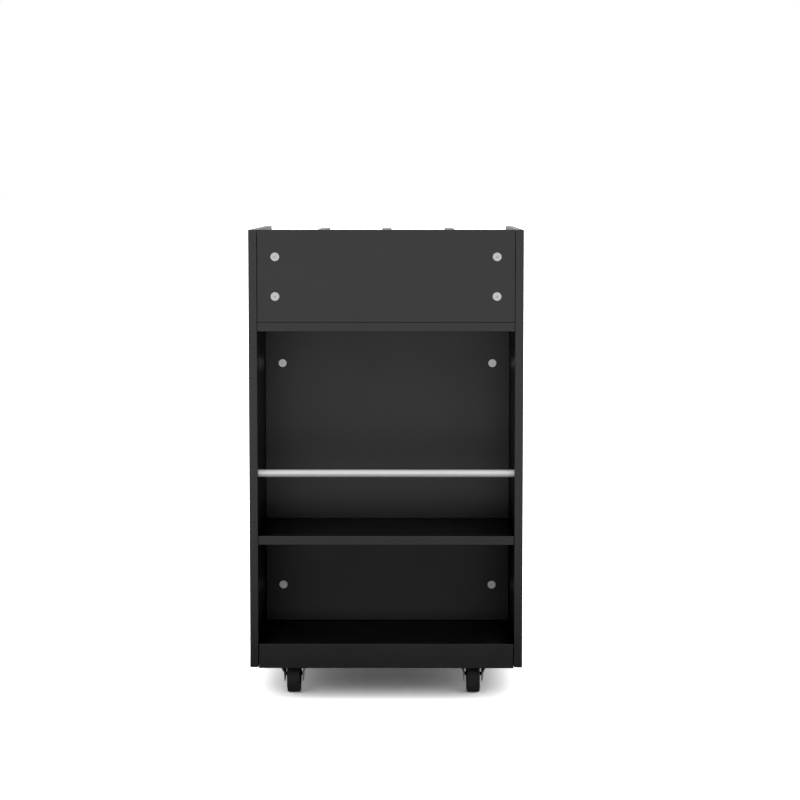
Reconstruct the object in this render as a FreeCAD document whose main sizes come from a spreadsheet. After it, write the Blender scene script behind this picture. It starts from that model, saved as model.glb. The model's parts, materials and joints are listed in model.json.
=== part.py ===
import FreeCAD, Part
import math
import os
import re

import Sketcher

# Kitchen island cart on four swivel casters.
# Frame: origin on the floor under the middle of the cabinet, +Z up, the front faces -Y, +X to the right.
# All sizes are in millimetres.

SIZES = {
    # cabinet
    "width": 520,
    "depth": 500,
    "height": 900,
    "upright_board": 16,
    "level_board": 17,
    "setback": 2,
    "side_round": 1.5,
    "edge_round": 0.6,
    "seam": 0.5,
    "side_underside": 65,
    "apron_underside": 63,
    "bin_floor_top": 725,
    "divider_spacing": 122,
    "front_shelf_top": 318,
    "bottom_top": 110,
    "partition_front": 5,
    "worktop_top": 888,
    "rear_shelf_high": 592,
    "rear_shelf_low": 318,
    "shelf_play": 1,
    # cleats and blocks
    "cleat_width": 50,
    "cleat_depth": 24,
    "cleat_drop": 6,
    "block_tall": 60,
    "ledge": 22,
    "ledge_short": 10,
    # connector bolts with wide flat heads, and their insert nuts
    "bolt_column": 209.5,
    "plate_bolt_high": 848.6,
    "plate_bolt_low": 773.9,
    "partition_bolt_high": 630,
    "partition_bolt_low": 183,
    "bolt_head": 17,
    "bolt_head_thick": 1.8,
    "bolt_chamfer": 0.7,
    "bolt_shank": 6,
    "bolt_reach": 32,
    "bolt_hole": 6.5,
    "bolt_socket": 4,
    "bolt_socket_deep": 4,
    "insert_outside": 9,
    "insert_long": 13,
    "insert_hole": 18,
    # rail across the upper niche
    "rail_outside": 14,
    "rail_bore": 12,
    "rail_height": 436,
    "rail_inset": 22,
    "rail_seat": 8,
    # dowels, cam fittings, screws, shelf pins; blind holes are deeper than what they hold
    "spare": 0.5,
    "fitting_far": 190,
    "fitting_near": 40,
    "dowel_far": 155,
    "dowel_near": 80,
    "apron_dowel": 150,
    "dowel": 8,
    "dowel_long": 30,
    "dowel_in_side": 10,
    "cam_disc": 15,
    "cam_thick": 12,
    "cam_inset": 24,
    "cam_slot": 1.6,
    "cam_slot_deep": 2,
    "cam_pin": 6,
    "cam_pin_seat": 11,
    "screw_head": 8,
    "screw_head_thick": 2.4,
    "recess_long": 4.8,
    "recess_wide": 1,
    "recess_deep": 1.4,
    "screw_shank": 4,
    "screw_slack": 0.6,
    "screw_bite": 12,
    "cleat_screw": 26,
    "block_screw": 12,
    "caster_screw": 16,
    "pin": 5,
    "pin_seat": 9,
    "pin_reach": 8,
    "pin_pitch": 32,
    "pin_near": 80,
    "pin_far": 220,
    # casters: heights are above the floor, and "back" is the distance behind the swivel axis
    "caster_shift": -6,
    "caster_spread": 174,
    "caster_row": 183,
    "plate_side": 58,
    "plate_thick": 2,
    "plate_hole": 44,
    "plate_corner": 6,
    "boss": 18,
    "race": 13.5,
    "ball": 2,
    "race_height": 83,
    "race_gap": 0.3,
    "kingpin": 5,
    "kingpin_head": 8,
    "kingpin_head_thick": 3,
    "running": 0.1,
    "wheel": 36,
    "wheel_wide": 26,
    "tyre_round": 4,
    "core": 29,
    "sleeve": 3.6,
    "sleeve_half": 16.4,
    "hub_boss": 7.5,
    "core_wall": 4,
    "core_half": 12,
    "web_half": 4,
    "web_hole": 9,
    "web_ring": 17,
    "trail": 20,
    "axle": 2.5,
    "axle_head": 4.4,
    "axle_head_thick": 1.2,
    "fork_sheet": 2.2,
    "fork_top": 80,
    "fork_crown": 19,
    "fork_shoulder": 25,
    "fork_flare": 54,
    "fork_knee": 41,
    "fork_foot": 18.9,
    "fork_bend": 5,
    "fork_toe": 13.4,
    "fork_toe_round": 12.5,
    "fork_front": 18,
    "fork_front_low": 70,
    "fork_back": 38,
    "fork_back_low": 58,
    "ear_back": 63,
    "ear_low": 43,
    "ear_high": 56,
    "ear_root": 61,
    "ear_round": 4,
    "brake_back": 58,
    "brake_high": 50,
    "brake_barrel": 3.2,
    "brake_barrel_half": 18.8,
    "brake_pin": 2,
    "brake_pin_half": 25.2,
    "pedal_half": 16,
    "pedal_arm_half": 12,
    "pedal_thick": 2.2,
    "arm_root_front": -2.2,
    "arm_root_back": 2.9,
    "arm_back": 1.5,
    "arm_drop": 12.5,
    "pad_back": 24,
    "pad_drop": 16.6,
}

doc = FreeCAD.newDocument("IslandCart")
sheet = doc.addObject("Spreadsheet::Sheet", "Dimensions")
for row, (alias, value) in enumerate(SIZES.items(), start=1):
    sheet.set(f"A{row}", alias)
    sheet.set(f"B{row}", str(value))
    sheet.setAlias(f"B{row}", alias)
doc.recompute()

# Lengths that several sub-parts share, written as formulas of the driving sizes.
INNER = "(width - 2 * upright_board)"
INNER_LEFT = "(upright_board - width / 2)"
FRONT = "(setback - depth / 2)"
BEHIND_FRONT = "(setback - depth / 2 + upright_board)"
REAR = "(depth / 2 - setback)"
BEHIND_PARTITION = "(partition_front + upright_board)"
RAIL_Y = "(rail_inset - depth / 2)"
LEVEL_MIDDLE = "level_board / 2"
BOTTOM_UNDER = "(bottom_top - level_board)"
DIVIDERS = {
    "bin_divider_left": "(-divider_spacing)",
    "bin_divider_centre": "0",
    "bin_divider_right": "divider_spacing",
}
REAR_SHELVES = {"rear_shelf_upper": "rear_shelf_high", "rear_shelf_lower": "rear_shelf_low"}
SIDES = {"left": -1, "right": 1}
BOLT_COLUMNS = ("-bolt_column", "bolt_column")
PLATE_BOLTS = ("plate_bolt_high", "plate_bolt_low")
PARTITION_BOLTS = {"upper": "partition_bolt_high", "lower": "partition_bolt_low"}
CAM_ROWS = ("-fitting_far", "-fitting_near")
DOWEL_ROWS = ("-dowel_far", "-dowel_near")
# Level boards fixed to the sides: their top, the rows of their cam fittings and of their dowels.
FIXED_LEVELS = {
    "bin_floor": ("bin_floor_top", CAM_ROWS, DOWEL_ROWS),
    "front_shelf": ("front_shelf_top", CAM_ROWS, DOWEL_ROWS),
    "bottom_board": ("bottom_top", ("-fitting_far", "fitting_far"), ("-dowel_far", "dowel_far")),
}
CAM_POINTS = [(y, f"{top} - {LEVEL_MIDDLE}") for top, rows, _ in FIXED_LEVELS.values() for y in rows]
DOWEL_POINTS = [(y, f"{top} - {LEVEL_MIDDLE}") for top, _, rows in FIXED_LEVELS.values() for y in rows]
APRON_DOWELS = ("-apron_dowel", "0", "apron_dowel")
PIN_ROWS = ("pin_near", "pin_far")
CLEAT_MIDDLE_Y = f"({BEHIND_FRONT} + cleat_depth / 2)"
CLEAT_SCREWS = [(CLEAT_MIDDLE_Y, "bin_floor_top + cleat_screw"), (CLEAT_MIDDLE_Y, "height - cleat_screw")]
BLOCK_SCREW_Y = f"({BEHIND_PARTITION} + cleat_depth / 2)"
LEDGE_LONG = f"({REAR} - {BEHIND_PARTITION} - ledge_short)"
LEDGE_UNDER = "(worktop_top - upright_board - ledge)"
LEDGE_MIDDLE_Z = f"({LEDGE_UNDER} + ledge / 2)"
# Screws along a ledge stand at these shares of its length: three into the side, two up into the worktop.
LEDGE_SHARES = (0.15, 0.5, 0.85)
LEDGE_TOP_SHARES = (0.3, 0.7)
LEDGE_SCREW_ROWS = [f"{BEHIND_PARTITION} + {share} * {LEDGE_LONG}" for share in LEDGE_SHARES]
LEDGE_TOP_ROWS = [f"{BEHIND_PARTITION} + {share} * {LEDGE_LONG}" for share in LEDGE_TOP_SHARES]
SEAM_INNER = f"({INNER} - 2 * seam)"
SEAM_LEFT = f"({INNER_LEFT} + seam)"


def block_screw_z(bolt):
    """The height of the screw beside a partition bolt, clear of its insert nut."""
    return f"{bolt} + block_tall / 2 - block_screw"


NEAR = 0.01
FOOT_Z = SIZES["wheel"] - SIZES["fork_toe"]
TREAD_LONG = 2 * math.pi * SIZES["wheel"]
BALLS = 12
WEB_HOLES = 5
SIDE_SCREWS = CLEAT_SCREWS + [(BLOCK_SCREW_Y, block_screw_z(bolt)) for bolt in PARTITION_BOLTS.values()]
SIDE_SCREWS += [(y, LEDGE_MIDDLE_Z) for y in LEDGE_SCREW_ROWS]


def ledge_x(sign):
    return f"{sign} * ({INNER} / 2 - ledge / 2)"


def caster_x(sign):
    return f"(caster_shift + {sign} * caster_spread)"


X_AXIS = FreeCAD.Rotation(FreeCAD.Vector(0, 1, 0), 90)
Y_AXIS = FreeCAD.Rotation(FreeCAD.Vector(1, 0, 0), -90)
Z_AXIS = FreeCAD.Rotation()
MINUS_X = FreeCAD.Rotation(FreeCAD.Vector(0, 1, 0), -90)
MINUS_Y = FreeCAD.Rotation(FreeCAD.Vector(1, 0, 0), 90)
MINUS_Z = FreeCAD.Rotation(FreeCAD.Vector(1, 0, 0), 180)

subparts = []
corners = {}


def formula(text):
    """Point every size name in a formula at the sheet."""
    def cell(word):
        return "Dimensions." + word.group() if word.group() in SIZES else word.group()
    return re.sub(r"[a-z_]+", cell, str(text))


def bind(item, **sizes):
    for name, text in sizes.items():
        item.setExpression(name, formula(text))


def place(item, x, y, z, turn=Z_AXIS):
    item.Placement = FreeCAD.Placement(FreeCAD.Vector(), turn)
    for axis, text in zip("xyz", (x, y, z)):
        item.setExpression(f"Placement.Base.{axis}", formula(text))


def keep(item, label):
    """Make an object a sub-part of its own: the label names its file."""
    item.Label = label
    subparts.append(item)
    return item


# ---- sketches and bodies --------------------------------------------------------------------------

def new_sketch(body, name, role, offset=None):
    """A sketch on one of the body's own planes, moved along the plane's normal by a formula."""
    plane = [item for item in body.Origin.OriginFeatures if item.Role == role][0]
    sketch = body.newObject("Sketcher::SketchObject", name)
    sketch.AttachmentSupport = (plane, [""])
    sketch.MapMode = "FlatFace"
    if offset is not None:
        sketch.setExpression("AttachmentOffset.Base.z", formula(offset))
    return sketch


def hold_point(sketch, geometry, vertex, x, y):
    """Tie a vertex of a sketch to the origin with two formulas."""
    for kind, text in (("DistanceX", x), ("DistanceY", y)):
        number = sketch.addConstraint(Sketcher.Constraint(kind, -1, 1, geometry, vertex, 1.0))
        sketch.setExpression(f"Constraints[{number}]", formula(text))


def start_point(number):
    """A first guess for a vertex; the constraints then move it to its place."""
    return FreeCAD.Vector(10 * number, 7 * number * number, 0)


def outline(sketch, points):
    """A closed outline of straight lines through points given as formulas."""
    count = len(points)
    first = sketch.GeometryCount
    for number in range(count):
        sketch.addGeometry(Part.LineSegment(start_point(number), start_point((number + 1) % count)))
    for number in range(count):
        follower = first + (number + 1) % count
        sketch.addConstraint(Sketcher.Constraint("Coincident", first + number, 2, follower, 1))
    for number, (x, y) in enumerate(points):
        hold_point(sketch, first + number, 1, x, y)


def circles(sketch, points, across):
    for number, (x, y) in enumerate(points):
        circle = Part.Circle(start_point(number + 1), FreeCAD.Vector(0, 0, 1), 1.0)
        geometry = sketch.addGeometry(circle)
        diameter = sketch.addConstraint(Sketcher.Constraint("Diameter", geometry, 1.0))
        sketch.setExpression(f"Constraints[{diameter}]", formula(across))
        hold_point(sketch, geometry, 3, x, y)


def new_body(name, x, y, z):
    body = doc.addObject("PartDesign::Body", name)
    place(body, x, y, z)
    corners[name] = (x, y, z)
    return body


def pad(body, sketch, long, both_ways=False, reverse=False):
    feature = body.newObject("PartDesign::Pad", sketch.Name + "_pad")
    feature.Profile = sketch
    feature.SideType = "Symmetric" if both_ways else "One side"
    feature.Reversed = reverse
    bind(feature, Length=long)
    return feature


def pocket(body, sketch, deep, both_ways=False, reverse=False):
    feature = body.newObject("PartDesign::Pocket", sketch.Name + "_pocket")
    feature.Profile = sketch
    feature.SideType = "Symmetric" if both_ways else "One side"
    feature.Reversed = reverse
    bind(feature, Length=deep)
    return feature


def turned(body, kind, sketch, axis):
    """A revolved feature, PartDesign::Revolution or PartDesign::Groove, about an axis of its sketch."""
    feature = body.newObject(kind, sketch.Name + "_turned")
    feature.Profile = sketch
    feature.ReferenceAxis = (sketch, [axis])
    feature.Angle = 360
    return feature


def round_edges(body, base, radius, chosen=None):
    """Round the edges of a feature that pass a test, or all of them."""
    feature = body.newObject("PartDesign::Fillet", base.Name + "_round")
    if chosen is None:
        feature.Base = (base, [""])
        feature.UseAllEdges = True
    else:
        doc.recompute()
        names = [f"Edge{n}" for n, edge in enumerate(base.Shape.Edges, start=1) if chosen(edge)]
        feature.Base = (base, names)
    bind(feature, Radius=radius)
    return feature


def runs_along(edge, axis):
    """True for a straight edge along x, y or z."""
    ends = [vertex.Point for vertex in edge.Vertexes]
    if len(ends) < 2:
        return False
    step = ends[1] - ends[0]
    return abs(abs(step.dot(axis)) - edge.Length) < 1e-6


def board(label, corner, size, rounding="edge_round"):
    """A flat board standing on its lowest corner, with softened edges."""
    body = new_body(label, *corner)
    sketch = new_sketch(body, label + "_outline", "XY_Plane")
    wide, deep, tall = size
    outline(sketch, [("0", "0"), (wide, "0"), (wide, deep), ("0", deep)])
    round_edges(body, pad(body, sketch, tall), rounding)
    return keep(body, label)


# Each drilling direction: its plane, which two coordinates the plane shows, and its normal's sign.
DRILL_PLANES = {
    "x": ("YZ_Plane", (1, 2), 1),
    "y": ("XZ_Plane", (0, 2), -1),
    "z": ("XY_Plane", (0, 1), 1),
}


def drill(body, name, along, face, into, points, across, deep):
    """Holes of one size along x, y or z, from the plane `face`, towards `into` (+1 or -1).

    Points and face are in the cart's frame, so that mating boards share them.
    """
    role, shown, normal = DRILL_PLANES[along]
    corner = corners[body.Name]
    start = f"{normal} * (({face}) - ({corner['xyz'.index(along)]}))"
    sketch = new_sketch(body, f"{body.Name}_{name}", role, offset=start)
    local = [tuple(f"({text}) - ({corner[axis]})" for text, axis in zip(point, shown)) for point in points]
    circles(sketch, local, across)
    pocket(body, sketch, deep, reverse=(into == normal))


def cylinder(name, radius, long, x="0", y="0", z="0", turn=Z_AXIS):
    item = doc.addObject("Part::Cylinder", name)
    bind(item, Radius=radius, Height=long)
    place(item, x, y, z, turn)
    return item


def joined(name, *items):
    fusion = doc.addObject("Part::MultiFuse", name)
    fusion.Shapes = list(items)
    return fusion


def carved(name, base, tool):
    result = doc.addObject("Part::Cut", name)
    result.Base = base
    result.Tool = tool
    return result


def copies_of(pattern, places):
    """Linked copies of one small piece; a place is x, y, z and a turn."""
    copies = []
    for number, (x, y, z, turn) in enumerate(places, start=1):
        copy = doc.addObject("App::Link", f"{pattern.Name}_{number}")
        copy.LinkedObject = pattern
        place(copy, x, y, z, turn)
        copies.append(copy)
    return copies


def group(label, copies):
    """Small pieces of one kind, kept together in one sub-part."""
    compound = doc.addObject("Part::Compound", label)
    compound.Links = copies
    return keep(compound, label)


# ---- cabinet boards -------------------------------------------------------------------------------

def make_boards():
    side_size = ("upright_board", "depth", "height - side_underside")
    board("side_panel_left", ("-width / 2", "-depth / 2", "side_underside"), side_size, "side_round")
    board("side_panel_right", ("width / 2 - upright_board", "-depth / 2", "side_underside"),
          side_size, "side_round")
    board("front_plate", (SEAM_LEFT, FRONT, "bin_floor_top + seam"),
          (SEAM_INNER, "upright_board", "height - bin_floor_top - seam"))
    front_depth = f"(partition_front - {FRONT})"
    for label, top in (("bin_floor", "bin_floor_top"), ("front_shelf", "front_shelf_top")):
        board(label, (SEAM_LEFT, FRONT, f"{top} - level_board"), (SEAM_INNER, front_depth, "level_board"))
    for label, column in DIVIDERS.items():
        board(label, (f"{column} - level_board / 2", BEHIND_FRONT, "bin_floor_top"),
              ("level_board", f"partition_front - {BEHIND_FRONT}", "height - bin_floor_top"))
    board("partition_panel", (INNER_LEFT, "partition_front", "bottom_top"),
          (INNER, "upright_board", "worktop_top - upright_board - bottom_top"))
    board("bottom_board", (INNER_LEFT, BEHIND_FRONT, BOTTOM_UNDER),
          (INNER, "depth - 2 * setback - 2 * upright_board", "level_board"))
    apron_size = (SEAM_INNER, "upright_board", "bottom_top - apron_underside")
    board("front_apron", (SEAM_LEFT, FRONT, "apron_underside"), apron_size)
    board("rear_apron", (SEAM_LEFT, f"{REAR} - upright_board", "apron_underside"), apron_size)
    board("worktop", (INNER_LEFT, "partition_front", "worktop_top - upright_board"),
          (INNER, f"{REAR} - partition_front", "upright_board"))
    shelf_front = f"({BEHIND_PARTITION} + cleat_depth + shelf_play)"
    for label, top in REAR_SHELVES.items():
        board(label, (f"{INNER_LEFT} + shelf_play", shelf_front, f"{top} - level_board"),
              (f"{INNER} - 2 * shelf_play", f"{REAR} - {shelf_front}", "level_board"))


def make_cleats():
    """Corner cleats behind the front plate, blocks behind the partition, and ledges under the worktop."""
    cleat_tall = "(height - bin_floor_top - cleat_drop)"
    for side, sign in SIDES.items():
        outer = INNER_LEFT if sign < 0 else f"(-{INNER_LEFT} - cleat_width)"
        board(f"front_cleat_{side}", (outer, BEHIND_FRONT, "bin_floor_top"),
              ("cleat_width", "cleat_depth", cleat_tall))
        for level in ("upper", "lower"):
            bolt = PARTITION_BOLTS[level]
            board(f"partition_block_{level}_{side}", (outer, BEHIND_PARTITION, f"{bolt} - block_tall / 2"),
                  ("cleat_width", "cleat_depth", "block_tall"))
        ledge_left = INNER_LEFT if sign < 0 else f"(-{INNER_LEFT} - ledge)"
        board(f"worktop_ledge_{side}", (ledge_left, BEHIND_PARTITION, "worktop_top - upright_board - ledge"),
              ("ledge", LEDGE_LONG, "ledge"))


# ---- holes ----------------------------------------------------------------------------------------

def body_named(label):
    return [item for item in subparts if item.Label == label][0]


def drill_sides():
    """The blind holes in the inner faces of the side panels."""
    pins = [(y, f"{top} - level_board - pin / 2 + {step} * pin_pitch")
            for top in REAR_SHELVES.values() for y in PIN_ROWS for step in (-1, 0, 1)]
    for side, sign in SIDES.items():
        body = body_named(f"side_panel_{side}")
        face = f"{sign} * {INNER} / 2"
        drill(body, "cam_holes", "x", face, sign, CAM_POINTS, "cam_pin", "cam_pin_seat + spare")
        drill(body, "dowel_holes", "x", face, sign, DOWEL_POINTS, "dowel", "dowel_in_side + spare")
        drill(body, "pin_holes", "x", face, sign, pins, "pin", "pin_seat + spare")
        drill(body, "screw_holes", "x", face, sign, SIDE_SCREWS, "screw_shank", "screw_bite + spare")
        drill(body, "rail_seat", "x", face, sign, [(RAIL_Y, "rail_height")],
              "rail_outside + 2 * running", "rail_seat + spare")


def drill_level_boards():
    """End holes for cam pins and dowels, and the cam discs' pockets from below."""
    for label, (top, cam_rows, dowel_rows) in FIXED_LEVELS.items():
        body = body_named(label)
        middle = f"{top} - {LEVEL_MIDDLE}"
        for sign in SIDES.values():
            end = f"{sign} * {INNER} / 2"
            side = "left" if sign < 0 else "right"
            drill(body, f"cam_pins_{side}", "x", end, -sign, [(y, middle) for y in cam_rows],
                  "cam_pin + 2 * spare", "cam_inset")
            drill(body, f"dowels_{side}", "x", end, -sign, [(y, middle) for y in dowel_rows],
                  "dowel", "dowel_long - dowel_in_side + spare")
            column = f"{sign} * ({INNER} / 2 - cam_inset)"
            drill(body, f"cam_pockets_{side}", "z", f"{top} - level_board", 1,
                  [(column, y) for y in cam_rows], "cam_disc", "cam_thick + spare")


def drill_uprights():
    """Bolt holes through the front plate and the partition, and the dowel holes of dividers and aprons."""
    plate_bolts = [(x, z) for x in BOLT_COLUMNS for z in PLATE_BOLTS]
    drill(body_named("front_plate"), "bolt_holes", "y", FRONT, 1, plate_bolts, "bolt_hole",
          "upright_board")
    partition_bolts = [(x, z) for x in BOLT_COLUMNS for z in PARTITION_BOLTS.values()]
    drill(body_named("partition_panel"), "bolt_holes", "y", "partition_front", 1, partition_bolts,
          "bolt_hole", "upright_board")
    floor = body_named("bin_floor")
    feet = [(column, y) for column in DIVIDERS.values() for y in DOWEL_ROWS]
    drill(floor, "divider_dowels", "z", "bin_floor_top", -1, feet, "dowel", "dowel_in_side + spare")
    for label, column in DIVIDERS.items():
        drill(body_named(label), "foot_dowels", "z", "bin_floor_top", 1,
              [(column, y) for y in DOWEL_ROWS], "dowel", "dowel_long - dowel_in_side + spare")
    bottom = body_named("bottom_board")
    middle = f"bottom_top - {LEVEL_MIDDLE}"
    for label, sign in (("front_apron", -1), ("rear_apron", 1)):
        joint = f"-{sign} * {BEHIND_FRONT}"
        places = [(x, middle) for x in APRON_DOWELS]
        drill(body_named(label), "dowels", "y", joint, sign, places, "dowel", "dowel_in_side + spare")
        drill(bottom, f"{label}_dowels", "y", joint, -sign, places, "dowel",
              "dowel_long - dowel_in_side + spare")


def drill_cleats():
    """Insert nut holes, and clearance holes for the wood screws."""
    for side, sign in SIDES.items():
        column = f"{sign} * bolt_column"
        cleat = body_named(f"front_cleat_{side}")
        inner_face = f"{sign} * ({INNER} / 2 - cleat_width)"
        drill(cleat, "insert_holes", "y", BEHIND_FRONT, 1, [(column, z) for z in PLATE_BOLTS],
              "insert_outside", "insert_hole")
        drill(cleat, "screw_holes", "x", inner_face, sign, CLEAT_SCREWS, "screw_shank", "cleat_width")
        drill(cleat, "screw_seats", "x", inner_face, sign, CLEAT_SCREWS, "screw_head", "screw_head_thick")
        for level, bolt in PARTITION_BOLTS.items():
            block = body_named(f"partition_block_{level}_{side}")
            drill(block, "insert_hole", "y", BEHIND_PARTITION, 1, [(column, bolt)],
                  "insert_outside", "insert_hole")
            screw = [(BLOCK_SCREW_Y, block_screw_z(bolt))]
            drill(block, "screw_hole", "x", inner_face, sign, screw, "screw_shank", "cleat_width")
            drill(block, "screw_seat", "x", inner_face, sign, screw, "screw_head", "screw_head_thick")
        ledge = body_named(f"worktop_ledge_{side}")
        ledge_face = f"{sign} * ({INNER} / 2 - ledge)"
        ledge_places = [(y, LEDGE_MIDDLE_Z) for y in LEDGE_SCREW_ROWS]
        drill(ledge, "side_screws", "x", ledge_face, sign, ledge_places, "screw_shank", "ledge")
        drill(ledge, "top_screws", "z", LEDGE_UNDER, 1, [(ledge_x(sign), y) for y in LEDGE_TOP_ROWS],
              "screw_shank", "ledge")
        plate = [(f"{caster_x(sign)} + {a} * plate_hole / 2", f"{row} * caster_row + {b} * plate_hole / 2")
                 for row in (-1, 1) for a in (-1, 1) for b in (-1, 1)]
        drill(body_named("bottom_board"), f"caster_screws_{side}", "z", BOTTOM_UNDER, 1, plate,
              "screw_shank", "caster_screw - plate_thick + spare")
        drill(body_named("worktop"), f"ledge_screws_{side}", "z", "worktop_top - upright_board", 1,
              [(ledge_x(sign), y) for y in LEDGE_TOP_ROWS], "screw_shank", "screw_bite + spare")


# ---- fasteners and fittings -----------------------------------------------------------------------

def bolt_pattern():
    """A connector bolt along +Z: its wide flat head is below Z = 0, and its socket is cut in the head."""
    rim_thick = "(bolt_head_thick - bolt_chamfer)"
    rim = cylinder("bolt_rim", "bolt_head / 2", rim_thick, z=f"-{rim_thick}")
    crown = doc.addObject("Part::Cone", "bolt_crown")
    bind(crown, Radius1="bolt_head / 2 - bolt_chamfer", Radius2="bolt_head / 2", Height="bolt_chamfer")
    place(crown, "0", "0", "-bolt_head_thick")
    shank = cylinder("bolt_shank", "bolt_shank / 2", "bolt_reach")
    solid = joined("bolt_solid", rim, crown, shank)
    socket = doc.addObject("Part::Prism", "bolt_socket")
    socket.Polygon = 6
    bind(socket, Circumradius="bolt_socket / 2 / cos(30)", Height="bolt_socket_deep")
    place(socket, "0", "0", "-bolt_head_thick")
    return carved("bolt_pattern", solid, socket)


def ring_pattern(name, outside, inside, long):
    """A plain sleeve standing on Z = 0."""
    return carved(name, cylinder(f"{name}_wall", f"{outside} / 2", long),
                  cylinder(f"{name}_hole", f"{inside} / 2", long))


def screw_pattern(name, long):
    """A wood screw along +Z: the head is below Z = 0 with a cross recess."""
    head = cylinder(f"{name}_head", "screw_head / 2", "screw_head_thick", z="-screw_head_thick")
    shank = cylinder(f"{name}_shank", "screw_shank / 2", long)
    slots = []
    for number, turn in enumerate((0, 90), start=1):
        slot = doc.addObject("Part::Box", f"{name}_slot_{number}")
        bind(slot, Length="recess_long", Width="recess_wide", Height="recess_deep")
        spin = FreeCAD.Rotation(FreeCAD.Vector(0, 0, 1), turn)
        across = ("-recess_long / 2", "-recess_wide / 2")
        along = ("recess_wide / 2", "-recess_long / 2")
        corner = across if turn == 0 else along
        place(slot, corner[0], corner[1], "-screw_head_thick", spin)
        slots.append(slot)
    recess = joined(f"{name}_recess", *slots)
    return carved(name, joined(f"{name}_solid", head, shank), recess)


def cam_disc_pattern():
    """A cam disc standing on Z = 0, with a screwdriver slot below and a bore for the pin from +X."""
    disc = cylinder("cam_disc_blank", "cam_disc / 2", "cam_thick")
    bore = cylinder("cam_disc_bore", "cam_pin / 2 + spare", "cam_disc", z=f"{LEVEL_MIDDLE}", turn=X_AXIS)
    slot = doc.addObject("Part::Box", "cam_disc_slot")
    bind(slot, Length="cam_disc", Width="cam_slot", Height="cam_slot_deep")
    place(slot, "-cam_disc / 2", "-cam_slot / 2", "0")
    return carved("cam_disc_pattern", disc, joined("cam_disc_cuts", bore, slot))


def make_fasteners():
    bolts = [(x, FRONT, z, Y_AXIS) for x in BOLT_COLUMNS for z in PLATE_BOLTS]
    bolts += [(x, "partition_front", z, Y_AXIS) for x in BOLT_COLUMNS for z in PARTITION_BOLTS.values()]
    group("connector_bolts", copies_of(bolt_pattern(), bolts))
    inserts = [(x, BEHIND_FRONT, z, Y_AXIS) for x in BOLT_COLUMNS for z in PLATE_BOLTS]
    inserts += [(x, BEHIND_PARTITION, z, Y_AXIS)
                for x in BOLT_COLUMNS for z in PARTITION_BOLTS.values()]
    insert = ring_pattern("insert_pattern", "insert_outside", "bolt_shank", "insert_long")
    group("insert_nuts", copies_of(insert, inserts))

    pins, discs, dowels = [], [], []
    for top, cam_rows, dowel_rows in FIXED_LEVELS.values():
        middle = f"{top} - {LEVEL_MIDDLE}"
        for sign in SIDES.values():
            inward = MINUS_X if sign > 0 else X_AXIS
            pins += [(f"{sign} * ({INNER} / 2 + cam_pin_seat)", y, middle, inward) for y in cam_rows]
            spin = Z_AXIS if sign > 0 else FreeCAD.Rotation(FreeCAD.Vector(0, 0, 1), 180)
            discs += [(f"{sign} * ({INNER} / 2 - cam_inset)", y, f"{top} - level_board", spin)
                      for y in cam_rows]
            dowels += [(f"{sign} * ({INNER} / 2 + dowel_in_side)", y, middle, inward)
                       for y in dowel_rows]
    pin = cylinder("cam_pin_pattern", "cam_pin / 2", "cam_pin_seat + cam_inset - spare")
    group("cam_pins", copies_of(pin, pins))
    group("cam_discs", copies_of(cam_disc_pattern(), discs))

    dowels += [(x, y, "bin_floor_top - dowel_in_side", Z_AXIS)
               for x in DIVIDERS.values() for y in DOWEL_ROWS]
    apron_joint = f"({BEHIND_FRONT} - dowel_in_side)"
    middle = f"bottom_top - {LEVEL_MIDDLE}"
    dowels += [(x, apron_joint, middle, Y_AXIS) for x in APRON_DOWELS]
    dowels += [(x, f"-{apron_joint}", middle, MINUS_Y) for x in APRON_DOWELS]
    dowel = cylinder("dowel_pattern", "dowel / 2", "dowel_long")
    group("dowels", copies_of(dowel, dowels))

    long_screws, short_screws = [], []
    for sign in SIDES.values():
        outward = X_AXIS if sign > 0 else MINUS_X
        cleat_face = f"{sign} * ({INNER} / 2 - cleat_width + screw_head_thick)"
        long_screws += [(cleat_face, y, z, outward) for y, z in CLEAT_SCREWS]
        long_screws += [(cleat_face, BLOCK_SCREW_Y, block_screw_z(bolt), outward)
                        for bolt in PARTITION_BOLTS.values()]
        ledge_face = f"{sign} * ({INNER} / 2 - ledge)"
        short_screws += [(ledge_face, y, LEDGE_MIDDLE_Z, outward) for y in LEDGE_SCREW_ROWS]
        short_screws += [(ledge_x(sign), y, LEDGE_UNDER, Z_AXIS) for y in LEDGE_TOP_ROWS]
    long_pattern = screw_pattern("long_screw", "cleat_width - screw_head_thick + screw_bite")
    short_pattern = screw_pattern("short_screw", "ledge + screw_bite - 1")
    group("wood_screws", copies_of(long_pattern, long_screws) + copies_of(short_pattern, short_screws))

    shelf_pins = []
    for top in REAR_SHELVES.values():
        for y in PIN_ROWS:
            height = f"{top} - level_board - pin / 2"
            shelf_pins.append((f"-{INNER} / 2 - pin_seat", y, height, X_AXIS))
            shelf_pins.append((f"{INNER} / 2 + pin_seat", y, height, MINUS_X))
    pin = cylinder("shelf_pin_pattern", "pin / 2", "pin_seat + pin_reach")
    group("shelf_pins", copies_of(pin, shelf_pins))


def make_rail():
    """The round rail of the upper niche: a tube whose ends sit in blind holes in the side panels."""
    start = f"(-{INNER} / 2 - rail_seat)"
    long = f"({INNER} + 2 * rail_seat)"
    wall = cylinder("rail_wall", "rail_outside / 2", long, start, RAIL_Y, "rail_height", X_AXIS)
    bore = cylinder("rail_hollow", "rail_bore / 2", long, start, RAIL_Y, "rail_height", X_AXIS)
    keep(carved("niche_rail", wall, bore), "niche_rail")


# ---- casters --------------------------------------------------------------------------------------

def swivel(sign, row):
    """The floor point under a caster's swivel axis."""
    return caster_x(sign), f"({row} * caster_row)", "0"


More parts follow.
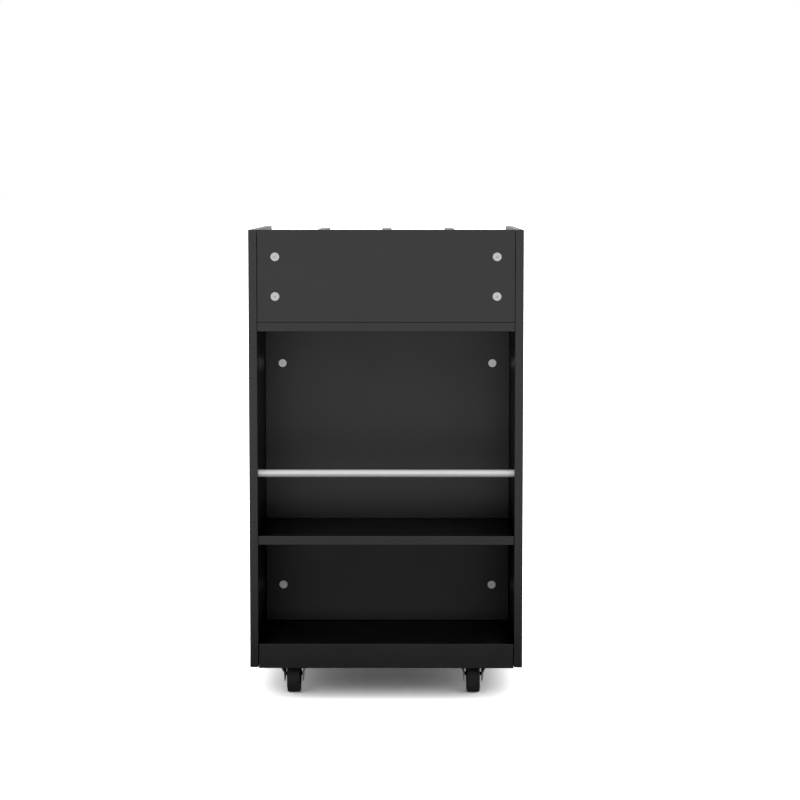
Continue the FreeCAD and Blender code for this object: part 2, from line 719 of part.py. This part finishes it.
def make_plate(name, at):
    """The fixed top plate, with the round boss that carries the upper half of the ball race."""
    body = new_body(f"caster_plate_{name}", *at)
    sheet_outline = new_sketch(body, f"plate_outline_{name}", "XY_Plane", f"{BOTTOM_UNDER} - plate_thick")
    half = "plate_side / 2"
    outline(sheet_outline, [(f"-{half}", f"-{half}"), (half, f"-{half}"), (half, half), (f"-{half}", half)])
    plate = pad(body, sheet_outline, "plate_thick")
    up = FreeCAD.Vector(0, 0, 1)
    round_edges(body, plate, "plate_corner", lambda edge: runs_along(edge, up))
    boss = new_sketch(body, f"plate_boss_{name}", "XY_Plane", "race_height + race_gap")
    circles(boss, [("0", "0")], "2 * boss")
    pad(body, boss, f"{BOTTOM_UNDER} - plate_thick - race_height - race_gap")
    screws = new_sketch(body, f"plate_holes_{name}", "XY_Plane", BOTTOM_UNDER)
    spots = [(f"{a} * plate_hole / 2", f"{b} * plate_hole / 2") for a in (-1, 1) for b in (-1, 1)]
    circles(screws, spots, "screw_shank + screw_slack")
    pocket(body, screws, "plate_thick")
    centre = new_sketch(body, f"plate_centre_{name}", "XY_Plane", BOTTOM_UNDER)
    circles(centre, [("0", "0")], "2 * kingpin")
    pocket(body, centre, f"{BOTTOM_UNDER} - race_height")
    race_groove(body, name)
    keep(body, f"caster_plate_{name}")


def race_groove(body, name):
    """The half of the ball race that this body holds, cut all round the swivel axis."""
    groove = new_sketch(body, f"{body.Name}_race", "XZ_Plane")
    circles(groove, [("race", "race_height")], "2 * (ball + race_gap)")
    turned(body, "PartDesign::Groove", groove, "V_Axis")


def is_sheet_edge(edge):
    """True for an edge straight through the yoke's sheet, at a corner of its side outline."""
    return runs_along(edge, FreeCAD.Vector(1, 0, 0)) and edge.Length < SIZES["fork_sheet"] + NEAR


def make_fork(name, at, braked):
    """A pressed yoke: an upturned U of sheet, trimmed to its side outline, with the lower race on top."""
    body = new_body(f"caster_fork_{name}", *at)
    reach = "ear_back" if braked else "fork_back"
    section = new_sketch(body, f"fork_section_{name}", "XZ_Plane", f"-{reach}")
    foot = "(wheel - fork_toe)"
    outer = [("fork_shoulder", "fork_top"), ("fork_shoulder", "fork_flare"), ("fork_foot", "fork_knee"),
             ("fork_foot", foot)]
    inner = [(f"({across} - fork_sheet)", level) for across, level in reversed(outer[1:])]
    right = outer + inner + [("(fork_shoulder - fork_sheet)", "fork_top - fork_sheet")]
    outline(section, right + [(f"-{across}", level) for across, level in reversed(right)])
    yoke = pad(body, section, f"fork_front + {reach}")
    along_y = FreeCAD.Vector(0, 1, 0)
    ceiling = SIZES["fork_top"] - SIZES["fork_sheet"]
    bent_outside = round_edges(body, yoke, "fork_bend", lambda edge: runs_along(edge, along_y)
                               and edge.Vertexes[0].Z > SIZES["fork_top"] - NEAR)
    round_edges(body, bent_outside, "fork_bend - fork_sheet", lambda edge: runs_along(edge, along_y)
                and abs(edge.Vertexes[0].Z - ceiling) < NEAR
                and abs(edge.Vertexes[0].X) > SIZES["fork_foot"])
    doc.recompute()
    side = new_sketch(body, f"fork_side_{name}", "YZ_Plane")
    far = "4 * fork_top"
    outline(side, [(f"-{far}", f"-{far}"), (far, f"-{far}"), (far, far), (f"-{far}", far)])
    above = "2 * fork_top"
    ear = [("ear_back", "ear_low"), ("ear_back", "ear_high"), ("fork_back", "ear_root")]
    heel = ear if braked else [("fork_back", "fork_back_low")]
    outline(side, [("-fork_front", above), ("-fork_front", "fork_front_low"), ("trail - fork_toe", foot),
                   ("trail + fork_toe", foot)] + heel + [("fork_back", above)])
    trimmed = pocket(body, side, "4 * fork_shoulder", both_ways=True)
    rounded = round_edges(body, trimmed, "fork_toe_round",
                          lambda edge: abs(edge.CenterOfMass.z - FOOT_Z) < NEAR and is_sheet_edge(edge))
    if braked:
        round_edges(body, rounded, "ear_round",
                    lambda edge: abs(edge.CenterOfMass.y - SIZES["ear_back"]) < NEAR and is_sheet_edge(edge))
    crown = new_sketch(body, f"fork_crown_{name}", "XY_Plane", "fork_top - fork_sheet")
    circles(crown, [("0", "0")], "2 * fork_crown")
    pad(body, crown, "race_height - race_gap - fork_top + fork_sheet")
    hole = new_sketch(body, f"fork_kingpin_hole_{name}", "XY_Plane", "race_height")
    circles(hole, [("0", "0")], "2 * (kingpin + running)")
    pocket(body, hole, "fork_top")
    race_groove(body, name)
    axle = new_sketch(body, f"fork_axle_holes_{name}", "YZ_Plane")
    circles(axle, [("trail", "wheel")], "2 * axle")
    pocket(body, axle, "4 * fork_shoulder", both_ways=True)
    if braked:
        pin = new_sketch(body, f"fork_pin_holes_{name}", "YZ_Plane")
        circles(pin, [("brake_back", "brake_high")], "2 * brake_pin")
        pocket(body, pin, "4 * fork_shoulder", both_ways=True)
    keep(body, f"caster_fork_{name}")


def make_wheel(name, at):
    """A moulded core with a pierced web, and the rubber tyre round it, both turned about the axle."""
    x, y, z = at
    hub_at = (x, f"{y} + trail", f"{z} + wheel")
    core = new_body(f"wheel_core_{name}", *hub_at)
    section = new_sketch(core, f"core_section_{name}", "XY_Plane")
    wall = "(core - core_wall)"
    upper = [("sleeve_half", "axle + running"), ("sleeve_half", "sleeve"), ("core_half", "sleeve"),
             ("core_half", "hub_boss"), ("web_half", "hub_boss"), ("web_half", wall), ("core_half", wall),
             ("core_half", "core")]
    outline(section, upper + [(f"-{across}", out) for across, out in reversed(upper)])
    turned(core, "PartDesign::Revolution", section, "H_Axis")
    hole = new_sketch(core, f"core_hole_{name}", "YZ_Plane")
    circles(hole, [("web_ring", "0")], "web_hole")
    pierced = pocket(core, hole, "4 * web_half", both_ways=True)
    spread = core.newObject("PartDesign::PolarPattern", f"core_holes_{name}")
    spread.Originals = [pierced]
    spread.Axis = ([item for item in core.Origin.OriginFeatures if item.Role == "X_Axis"][0], [""])
    spread.Angle = 360
    spread.Occurrences = WEB_HOLES
    core.Tip = spread
    keep(core, f"wheel_core_{name}")

    tyre = new_body(f"tyre_{name}", *hub_at)
    section = new_sketch(tyre, f"tyre_section_{name}", "XY_Plane")
    half = "wheel_wide / 2"
    outline(section, [(f"-{half}", "core"), (half, "core"), (half, "wheel"), (f"-{half}", "wheel")])
    ring = turned(tyre, "PartDesign::Revolution", section, "H_Axis")
    round_edges(tyre, ring, "tyre_round", lambda edge: abs(edge.Length - TREAD_LONG) < NEAR)
    keep(tyre, f"tyre_{name}")


def make_axle(name, at):
    """A plain axle through the yoke, riveted over at both ends."""
    x, y, z = at
    long = [cylinder(f"axle_bar_{name}", "axle", "2 * fork_foot", f"{x} - fork_foot", f"{y} + trail",
                     f"{z} + wheel", X_AXIS)]
    for side, sign in SIDES.items():
        start = f"{x} + {sign} * fork_foot - {(1 - sign) // 2} * axle_head_thick"
        long.append(cylinder(f"axle_head_{side}_{name}", "axle_head", "axle_head_thick", start,
                             f"{y} + trail", f"{z} + wheel", X_AXIS))
    keep(joined(f"caster_axle_{name}", *long), f"caster_axle_{name}")


def make_brake(name, at):
    """A pressed pedal that turns on a cross pin behind the wheel, with the pin that carries it."""
    x, y, z = at
    pin_at = (x, f"{y} + brake_back", f"{z} + brake_high")
    body = new_body(f"brake_pedal_{name}", *pin_at)
    barrel = new_sketch(body, f"pedal_barrel_{name}", "YZ_Plane")
    circles(barrel, [("0", "0")], "2 * brake_barrel")
    pad(body, barrel, "2 * brake_barrel_half", both_ways=True)
    arm = new_sketch(body, f"pedal_arm_{name}", "YZ_Plane")
    outline(arm, [("arm_root_front", "0"), ("arm_back", "-arm_drop"),
                  ("arm_back + pedal_thick", "-arm_drop + pedal_thick"), ("arm_root_back", "0")])
    pad(body, arm, "2 * pedal_arm_half", both_ways=True)
    tread = new_sketch(body, f"pedal_pad_{name}", "YZ_Plane")
    outline(tread, [("arm_back", "-arm_drop"), ("pad_back", "-pad_drop"),
                    ("pad_back", "pedal_thick - pad_drop"), ("arm_back", "pedal_thick - arm_drop")])
    step = pad(body, tread, "2 * pedal_half", both_ways=True)
    up = FreeCAD.Vector(0, 0, 1)
    round_edges(body, step, "pedal_thick", lambda edge: runs_along(edge, up)
                and edge.CenterOfMass.y > SIZES["pad_back"] - NEAR)
    bore = new_sketch(body, f"pedal_bore_{name}", "YZ_Plane")
    circles(bore, [("0", "0")], "2 * (brake_pin + running)")
    pocket(body, bore, "4 * brake_barrel_half", both_ways=True)
    keep(body, f"brake_pedal_{name}")
    pin = cylinder(f"brake_pin_{name}", "brake_pin", "2 * brake_pin_half", f"{x} - brake_pin_half",
                   pin_at[1], pin_at[2], X_AXIS)
    keep(pin, f"brake_pin_{name}")


def make_caster_hardware():
    """The kingpins, balls and screws of all four casters."""
    spots = [swivel(sign, row) for row in (-1, 1) for sign in SIDES.values()]
    head = cylinder("kingpin_head", "kingpin_head", "kingpin_head_thick")
    stem = cylinder("kingpin_stem", "kingpin", f"{BOTTOM_UNDER} - fork_top + fork_sheet + race_gap "
                    "+ kingpin_head_thick")
    under = "fork_top - fork_sheet - race_gap - kingpin_head_thick"
    kingpin = joined("kingpin_pattern", head, stem)
    group("caster_kingpins", copies_of(kingpin, [(x, y, under, Z_AXIS) for x, y, _ in spots]))

    ball = doc.addObject("Part::Sphere", "ball_pattern")
    bind(ball, Radius="ball")
    balls = []
    for x, y, _ in spots:
        for number in range(BALLS):
            angle = f"{number} * 360 / {BALLS}"
            balls.append((f"{x} + race * cos({angle})", f"{y} + race * sin({angle})", "race_height",
                          Z_AXIS))
    group("caster_balls", copies_of(ball, balls))

    under_plate = f"{BOTTOM_UNDER} - plate_thick"
    screws = [(f"{x} + {a} * plate_hole / 2", f"{y} + {b} * plate_hole / 2", under_plate, Z_AXIS)
              for x, y, _ in spots for a in (-1, 1) for b in (-1, 1)]
    screw = screw_pattern("caster_screw_pattern", "caster_screw")
    group("caster_screws", copies_of(screw, screws))


def make_casters():
    for row_name, row in (("front", -1), ("rear", 1)):
        for side, sign in SIDES.items():
            name = f"{row_name}_{side}"
            at = swivel(sign, row)
            braked = row_name == "front"
            make_plate(name, at)
            make_fork(name, at, braked)
            make_wheel(name, at)
            make_axle(name, at)
            if braked:
                make_brake(name, at)
    make_caster_hardware()


# ---- build, check and write -----------------------------------------------------------------------

def check_document():
    """Stop on a failed object, a hole that cuts nothing, or a sub-part without a valid shape."""
    for item in doc.Objects:
        if "Invalid" in item.State or "Error" in item.State:
            raise RuntimeError(f"{item.Name} failed: {item.State}")
        if item.TypeId in ("PartDesign::Pocket", "PartDesign::Groove"):
            removed = item.BaseFeature.Shape.Volume - item.Shape.Volume
            if removed <= 0:
                raise RuntimeError(f"{item.Name} cuts nothing")
    labels = [item.Label for item in subparts]
    if len(set(labels)) != len(labels) or len(labels) > 60:
        raise RuntimeError("sub-part labels repeat, or there are more than 60")
    for item in subparts:
        if item.Shape.isNull() or not item.Shape.isValid():
            raise RuntimeError(f"{item.Label} has no valid shape")


def write_parts():
    os.makedirs("parts", exist_ok=True)
    for item in subparts:
        item.Shape.exportStep(f"parts/{item.Label}.step")


make_boards()
make_cleats()
drill_sides()
drill_level_boards()
drill_uprights()
drill_cleats()
make_fasteners()
make_rail()
make_casters()
doc.recompute()
check_document()
write_parts()
whole = Part.makeCompound([item.Shape for item in subparts])
print(len(subparts), "sub-parts,", len(whole.Solids), "solids, box", whole.BoundBox)
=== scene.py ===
import json
import math

import bpy
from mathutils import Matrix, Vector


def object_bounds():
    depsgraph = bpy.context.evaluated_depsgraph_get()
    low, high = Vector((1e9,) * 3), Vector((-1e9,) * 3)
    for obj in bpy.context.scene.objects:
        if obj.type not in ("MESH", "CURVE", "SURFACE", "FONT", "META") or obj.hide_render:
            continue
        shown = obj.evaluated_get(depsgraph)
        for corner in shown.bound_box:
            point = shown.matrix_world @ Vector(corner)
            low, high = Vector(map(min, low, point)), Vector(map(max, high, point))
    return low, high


# Looks for the kitchen island cart. Metres, +Z up, the front faces -Y. Every CAD node keeps its shape and
# gets a node material. A floor, a light card under it, a world and a camera are added as staging.
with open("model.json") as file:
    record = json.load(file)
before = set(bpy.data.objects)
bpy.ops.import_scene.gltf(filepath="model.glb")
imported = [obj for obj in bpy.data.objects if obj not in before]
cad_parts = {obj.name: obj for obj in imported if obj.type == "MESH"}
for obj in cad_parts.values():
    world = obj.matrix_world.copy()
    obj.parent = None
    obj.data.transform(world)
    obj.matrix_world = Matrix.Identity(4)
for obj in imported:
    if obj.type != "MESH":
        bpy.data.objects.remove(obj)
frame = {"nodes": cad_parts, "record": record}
cad_box = [list(corner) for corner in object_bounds()]

# Most values of a noise texture lie in this span.
NOISE_SPAN = (0.3, 0.7)
# Cosine between the rounded and the real normal: on a sharp edge, and on the flat.
EDGE_COSINES = (0.7, 0.995)
BEVEL_SAMPLES = 4
WHITE = (1.0, 1.0, 1.0, 1.0)
BLACK = (0.0, 0.0, 0.0, 1.0)

# The floor reflects more than paint can, so that it shows white away from the cart.
STAGE_HALF = 400.0
FLOOR_GAIN = 2.5
FLOOR_SHADES = (0.83, 0.85)

# The card's glow grows with the distance from the cart's middle.
CARD_HEIGHT = -0.002
CARD_DISTANCES = (0.95, 2.3)
CARD_GLOW = (0.02, 1.38)

# World brightness, then where each part of it starts and ends in the direction's Y (back) and Z (up).
SKY_LIGHT = 1.0
FRONT_LIGHT = 0.75
BEHIND_LIGHT = 0.65
FRONT_LAMP_LIGHT = 0.9
REAR_LAMP_LIGHT = 1.6
FRONT_SIDE = (-0.8, -0.3)
BEHIND_SIDE = (0.3, 0.8)
FRONT_LAMP_SIDE = (-0.8, -0.35)
REAR_LAMP_SIDE = (0.35, 0.8)
LOW_SKY = (0.15, 0.4)
LAMP_FOOT = (0.24, 0.36)
LAMP_TOP = (0.45, 0.75)

# The camera stands in front of the cart, a little to the right, and looks down slightly.
CAMERA_RIGHT = 0.0499
CAMERA_HEIGHT = 0.970
CAMERA_DISTANCE = 4.471
CAMERA_TILT = math.radians(5.007)
CAMERA_TURN = math.radians(0.301)
CAMERA_LENS = 106.7
CAMERA_SENSOR = 36.0

# Points of the display curve: scene value, shown value.
COMBINED_CURVE = 3
DARK_TOE = ((0.004, 0.0), (0.009, 0.004), (0.017, 0.0145), (0.027, 0.027), (0.1, 0.1))


# ---- node helpers ---------------------------------------------------------------------------------

class Nodes:
    """A node tree, with short calls for the nodes used here."""

    def __init__(self, tree, place):
        self.tree = tree
        self.place = tree.nodes.new("ShaderNodeTexCoord").outputs[place]

    def link(self, source, target):
        self.tree.links.new(source, target)

    def math(self, operation, first, second):
        """Each of the two values is a number or a socket."""
        node = self.tree.nodes.new("ShaderNodeMath")
        node.operation = operation
        for socket, value in zip(node.inputs, (first, second)):
            if isinstance(value, (int, float)):
                socket.default_value = value
            else:
                self.link(value, socket)
        return node.outputs[0]

    def spread(self, value, span, result, smooth=False):
        """Map one span of a value to another, clamped."""
        node = self.tree.nodes.new("ShaderNodeMapRange")
        if smooth:
            node.interpolation_type = "SMOOTHSTEP"
        for name, number in zip(("From Min", "From Max", "To Min", "To Max"), (*span, *result)):
            node.inputs[name].default_value = number
        self.link(value, node.inputs["Value"])
        return node.outputs["Result"]


class Finish(Nodes):
    """A new material, built on its Principled shader."""

    def __init__(self, name):
        self.material = bpy.data.materials.new(name)
        self.material.use_nodes = True
        super().__init__(self.material.node_tree, "Object")
        self.shader = self.tree.nodes["Principled BSDF"]

    def set(self, **values):
        """Constants on the shader's own sockets; underscores stand for spaces."""
        for name, value in values.items():
            self.shader.inputs[name.replace("_", " ")].default_value = value

    def scaled(self, x, y, z):
        """The place coordinates scaled along each axis; a small scale draws the pattern out."""
        node = self.tree.nodes.new("ShaderNodeMapping")
        node.inputs["Scale"].default_value = (x, y, z)
        self.link(self.place, node.inputs["Vector"])
        return node.outputs["Vector"]

    def noise(self, scale, detail, rough, place=None, distortion=0.0):
        node = self.tree.nodes.new("ShaderNodeTexNoise")
        node.inputs["Scale"].default_value = scale
        node.inputs["Detail"].default_value = detail
        node.inputs["Roughness"].default_value = rough
        node.inputs["Distortion"].default_value = distortion
        self.link(place or self.place, node.inputs["Vector"])
        return node.outputs["Fac"]

    def shades(self, factor, first, last, span=NOISE_SPAN):
        """A colour ramp over a span of the factor. A single number is a grey."""
        node = self.tree.nodes.new("ShaderNodeValToRGB")
        for element, position, colour in zip(node.color_ramp.elements, span, (first, last)):
            rgb = (colour,) * 3 if isinstance(colour, float) else colour
            element.position = position
            element.color = (*rgb, 1.0)
        self.link(factor, node.inputs["Fac"])
        return node.outputs["Color"]

    def blend(self, factor, first, second):
        node = self.tree.nodes.new("ShaderNodeMix")
        node.data_type = "RGBA"
        self.link(factor, node.inputs["Factor"])
        self.link(first, node.inputs["A"])
        self.link(second, node.inputs["B"])
        return node.outputs["Result"]

    def edge(self, radius):
        """1 close to a sharp edge, 0 on the flat: how far a rounded normal leaves the real one."""
        bevel = self.tree.nodes.new("ShaderNodeBevel")
        bevel.samples = BEVEL_SAMPLES
        bevel.inputs["Radius"].default_value = radius
        normal = self.tree.nodes.new("ShaderNodeNewGeometry").outputs["Normal"]
        dot = self.tree.nodes.new("ShaderNodeVectorMath")
        dot.operation = "DOT_PRODUCT"
        self.link(bevel.outputs["Normal"], dot.inputs[0])
        self.link(normal, dot.inputs[1])
        return self.spread(dot.outputs["Value"], EDGE_COSINES, (1.0, 0.0))

    def bump(self, height, strength, distance):
        node = self.tree.nodes.new("ShaderNodeBump")
        node.inputs["Strength"].default_value = strength
        node.inputs["Distance"].default_value = distance
        self.link(height, node.inputs["Height"])
        self.link(node.outputs["Normal"], self.shader.inputs["Normal"])

    def colour(self, source):
        self.link(source, self.shader.inputs["Base Color"])

    def roughness(self, source):
        self.link(source, self.shader.inputs["Roughness"])


# ---- materials ------------------------------------------------------------------------------------

def black_laminate():
    """Matte black melamine board: fine pearl texture, faint cloudiness, edges rubbed a little lighter."""
    n = Finish("black_laminate")
    pearl = n.noise(scale=2600, detail=3, rough=0.6)
    cloud = n.noise(scale=9, detail=4, rough=0.5)
    patches = n.spread(n.noise(scale=60, detail=5, rough=0.6), (0.42, 0.62), (0.0, 1.0))
    worn = n.math("MULTIPLY", n.math("MULTIPLY", n.edge(radius=0.0009), patches), 0.22)
    base = n.shades(cloud, (0.0055, 0.0055, 0.0057), (0.0080, 0.0080, 0.0082))
    n.colour(n.blend(worn, base, n.shades(pearl, 0.04, 0.06)))
    n.roughness(n.math("ADD", n.spread(cloud, NOISE_SPAN, (0.36, 0.41)),
                       n.spread(pearl, NOISE_SPAN, (-0.03, 0.03))))
    n.set(Specular_IOR_Level=0.43)
    n.bump(pearl, strength=0.25, distance=0.00004)
    return n.material


def black_timber():
    """Black-stained softwood with open grain running front to back."""
    n = Finish("black_timber")
    grain = n.noise(scale=60, detail=6, rough=0.65, place=n.scaled(6.0, 1.0, 6.0), distortion=0.6)
    n.colour(n.shades(grain, (0.010, 0.0095, 0.009), (0.028, 0.025, 0.022)))
    n.roughness(n.spread(grain, NOISE_SPAN, (0.55, 0.72)))
    n.bump(grain, strength=0.4, distance=0.0003)
    return n.material


def beech():
    """Pale dowel wood with fine grain running from side to side."""
    n = Finish("beech")
    grain = n.noise(scale=120, detail=5, rough=0.6, place=n.scaled(1.0, 6.0, 6.0))
    n.colour(n.shades(grain, (0.45, 0.30, 0.17), (0.62, 0.45, 0.28)))
    n.roughness(n.spread(grain, NOISE_SPAN, (0.5, 0.65)))
    n.bump(grain, strength=0.3, distance=0.0002)
    return n.material


def brushed_rail():
    """Satin steel tube with fine hair lines along its length, only slightly metallic: an even light grey."""
    n = Finish("brushed_rail")
    lines = n.noise(scale=900, detail=4, rough=0.6, place=n.scaled(0.012, 1.0, 1.0))
    smudge = n.noise(scale=30, detail=4, rough=0.5)
    n.set(Metallic=0.3)
    n.colour(n.shades(lines, (0.61, 0.61, 0.606), (0.69, 0.69, 0.685)))
    n.roughness(n.math("ADD", n.spread(lines, NOISE_SPAN, (0.48, 0.56)),
                       n.spread(smudge, (0.4, 0.7), (0.0, 0.05))))
    n.bump(lines, strength=0.2, distance=0.00003)
    return n.material


def zinc():
    """Zinc plate: soft mottling and fine scratches."""
    n = Finish("zinc")
    mottle = n.noise(scale=160, detail=5, rough=0.6)
    scratch = n.noise(scale=1500, detail=3, rough=0.5, place=n.scaled(1.0, 0.06, 1.0))
    n.set(Metallic=0.8)
    n.colour(n.shades(mottle, (0.60, 0.61, 0.63), (0.70, 0.71, 0.72)))
    n.roughness(n.math("ADD", n.spread(mottle, NOISE_SPAN, (0.42, 0.5)),
                       n.spread(scratch, (0.4, 0.6), (-0.03, 0.04))))
    n.bump(scratch, strength=0.1, distance=0.00002)
    return n.material


def nickel():
    """Satin nickel plate."""
    n = Finish("nickel")
    fine = n.noise(scale=2200, detail=3, rough=0.6)
    n.set(Metallic=1.0)
    n.colour(n.shades(fine, (0.42, 0.42, 0.415), (0.5, 0.5, 0.495)))
    n.roughness(n.spread(fine, NOISE_SPAN, (0.3, 0.4)))
    n.bump(fine, strength=0.15, distance=0.00002)
    return n.material


def rubber():
    """Dull black rubber, dusted a little in patches."""
    n = Finish("rubber")
    fine = n.noise(scale=1400, detail=4, rough=0.6)
    dust = n.noise(scale=90, detail=5, rough=0.65)
    n.colour(n.shades(dust, 0.016, 0.026, span=(0.35, 0.75)))
    n.roughness(n.spread(dust, NOISE_SPAN, (0.6, 0.78)))
    n.set(Specular_IOR_Level=0.45)
    n.bump(fine, strength=0.3, distance=0.00005)
    return n.material


def moulded_plastic():
    """Black moulded plastic with a fine grained surface."""
    n = Finish("moulded_plastic")
    fine = n.noise(scale=1800, detail=3, rough=0.6)
    cloud = n.noise(scale=40, detail=3, rough=0.5)
    n.colour(n.shades(cloud, 0.012, 0.018))
    n.roughness(n.spread(cloud, NOISE_SPAN, (0.38, 0.48)))
    n.bump(fine, strength=0.25, distance=0.00004)
    return n.material


def powder_coat():
    """Black powder coat with its orange peel."""
    n = Finish("powder_coat")
    peel = n.noise(scale=900, detail=3, rough=0.5)
    cloud = n.noise(scale=70, detail=4, rough=0.5)
    n.colour(n.shades(cloud, 0.01, 0.016))
    n.roughness(n.spread(peel, NOISE_SPAN, (0.36, 0.48)))
    n.bump(peel, strength=0.35, distance=0.00008)
    return n.material


MATERIALS = {
    "black_board": black_laminate(),
    "black_batten": black_timber(),
    "dowel_beech": beech(),
    "rail_steel": brushed_rail(),
    "bolt_nickel": nickel(),
    "zinc_plate": zinc(),
    "core_plastic": moulded_plastic(),
    "tyre_rubber": rubber(),
    "pedal_black": powder_coat(),
}


def dress_nodes():
    """Give each CAD node its slot's material."""
    for entry in frame["record"]["subparts"]:
        for slot in frame["nodes"][entry["node"]].material_slots:
            slot.material = MATERIALS[entry["material_slot"]]


# ---- stage, light and camera ----------------------------------------------------------------------

def plane(name, height):
    """A level square that reaches the horizon."""
    mesh = bpy.data.meshes.new(name)
    signs = ((-1, -1), (1, -1), (1, 1), (-1, 1))
    mesh.from_pydata([(x * STAGE_HALF, y * STAGE_HALF, height) for x, y in signs], [], [(0, 1, 2, 3)])
    card = bpy.data.objects.new(name, mesh)
    bpy.context.scene.collection.objects.link(card)
    return card


def make_floor():
    """A pale floor. It sends no light to the cart; the card under it does."""
    floor = plane("floor", 0.0)
    n = Finish("floor_paint")
    dark, light = (FLOOR_GAIN * shade for shade in FLOOR_SHADES)
    paper = n.tree.nodes.new("ShaderNodeBsdfDiffuse")
    n.link(n.shades(n.noise(scale=3, detail=3, rough=0.5), dark, light), paper.inputs["Color"])
    n.link(paper.outputs[0], n.tree.nodes["Material Output"].inputs["Surface"])
    floor.data.materials.append(n.material)
    floor.visible_diffuse = False
    floor.visible_glossy = False
    floor.visible_shadow = False


def make_bounce_card():
    """The light that a floor would send up to the cart: hardly any close by, where the cart shades it."""
    card = plane("bounce_card", CARD_HEIGHT)
    n = Finish("bounce_glow")
    distance = n.tree.nodes.new("ShaderNodeVectorMath")
    distance.operation = "LENGTH"
    n.link(n.place, distance.inputs[0])
    glow = n.spread(distance.outputs["Value"], CARD_DISTANCES, CARD_GLOW)
    n.set(Base_Color=BLACK, Roughness=1.0, Specular_IOR_Level=0.0, Emission_Color=WHITE)
    n.link(glow, n.shader.inputs["Emission Strength"])
    n.material.cycles.emission_sampling = "NONE"
    card.data.materials.append(n.material)
    card.visible_camera = False
    card.visible_shadow = False


def make_light():
    """An even bright room. In front and behind it is dimmer low down, with a wide soft lamp above that."""
    world = bpy.data.worlds.new("studio")
    world.use_nodes = True
    n = Nodes(world.node_tree, "Generated")
    split = n.tree.nodes.new("ShaderNodeSeparateXYZ")
    n.link(n.place, split.inputs[0])
    up, back = split.outputs["Z"], split.outputs["Y"]

    def fade(source, span, result):
        return n.spread(source, span, result, smooth=True)

    lamps = n.math("ADD", fade(back, FRONT_LAMP_SIDE, (FRONT_LAMP_LIGHT, 0.0)),
                   fade(back, REAR_LAMP_SIDE, (0.0, REAR_LAMP_LIGHT)))
    lamps = n.math("MULTIPLY", lamps, fade(up, LAMP_FOOT, (0.0, 1.0)))
    lamps = n.math("MULTIPLY", lamps, fade(up, LAMP_TOP, (1.0, 0.0)))
    dim = n.math("ADD", fade(back, FRONT_SIDE, (SKY_LIGHT - FRONT_LIGHT, 0.0)),
                 fade(back, BEHIND_SIDE, (0.0, SKY_LIGHT - BEHIND_LIGHT)))
    dim = n.math("MULTIPLY", dim, fade(up, LOW_SKY, (1.0, 0.0)))
    light = n.math("ADD", n.math("SUBTRACT", SKY_LIGHT, dim), lamps)

    # The camera sees the room plain white.
    seen = n.tree.nodes.new("ShaderNodeMix")
    n.link(n.tree.nodes.new("ShaderNodeLightPath").outputs["Is Camera Ray"], seen.inputs["Factor"])
    n.link(light, seen.inputs["A"])
    seen.inputs["B"].default_value = 1.0
    background = n.tree.nodes["Background"]
    background.inputs["Color"].default_value = WHITE
    n.link(seen.outputs["Result"], background.inputs["Strength"])
    bpy.context.scene.world = world


def make_camera():
    data = bpy.data.cameras.new("camera")
    data.sensor_width = CAMERA_SENSOR
    data.lens = CAMERA_LENS
    data.dof.use_dof = False
    camera = bpy.data.objects.new("camera", data)
    front = cad_box[0][1]
    camera.location = (CAMERA_RIGHT, front - CAMERA_DISTANCE, CAMERA_HEIGHT)
    camera.rotation_euler = (math.pi / 2 - CAMERA_TILT, 0.0, CAMERA_TURN)
    bpy.context.scene.collection.objects.link(camera)
    bpy.context.scene.camera = camera


def set_display():
    """Standard colours, with a short toe that deepens the darkest tones."""
    view = bpy.context.scene.view_settings
    view.view_transform = "Standard"
    view.use_curve_mapping = True
    curve = view.curve_mapping.curves[COMBINED_CURVE]
    for value, shown in DARK_TOE:
        curve.points.new(value, shown)
    view.curve_mapping.update()


dress_nodes()
make_floor()
make_bounce_card()
make_light()
make_camera()
set_display()
